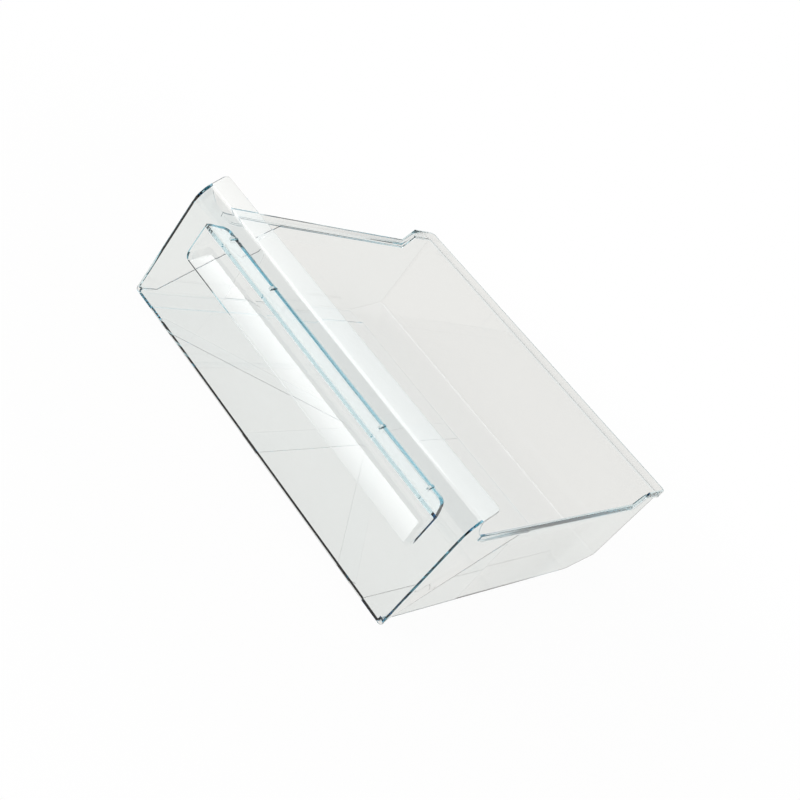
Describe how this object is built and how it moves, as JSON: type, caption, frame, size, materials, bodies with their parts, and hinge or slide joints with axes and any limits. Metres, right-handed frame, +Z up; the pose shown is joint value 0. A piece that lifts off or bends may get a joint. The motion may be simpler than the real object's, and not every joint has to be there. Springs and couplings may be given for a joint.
{
  "type": "freezer drawer",
  "caption": "Clear one-piece freezer drawer: drafted tub with a stepped sliding rim, a sloping heel, raised rear stops and a bent-back front panel with a recessed finger pocket.",
  "frame": {"origin": "centre of the bounding box's bottom face, on the surface the drawer stands on", "axes": "+X to the right of somebody facing the front panel, +Y from the front panel to the back wall, +Z up"},
  "size_m": [0.459, 0.43, 0.1591],
  "materials": {
    "clear_plastic": "clear crystal plastic with a faint blue-green tint, high gloss"
  },
  "bodies": {
    "root": {"drawer": "clear_plastic"}
  },
  "joints": []
}
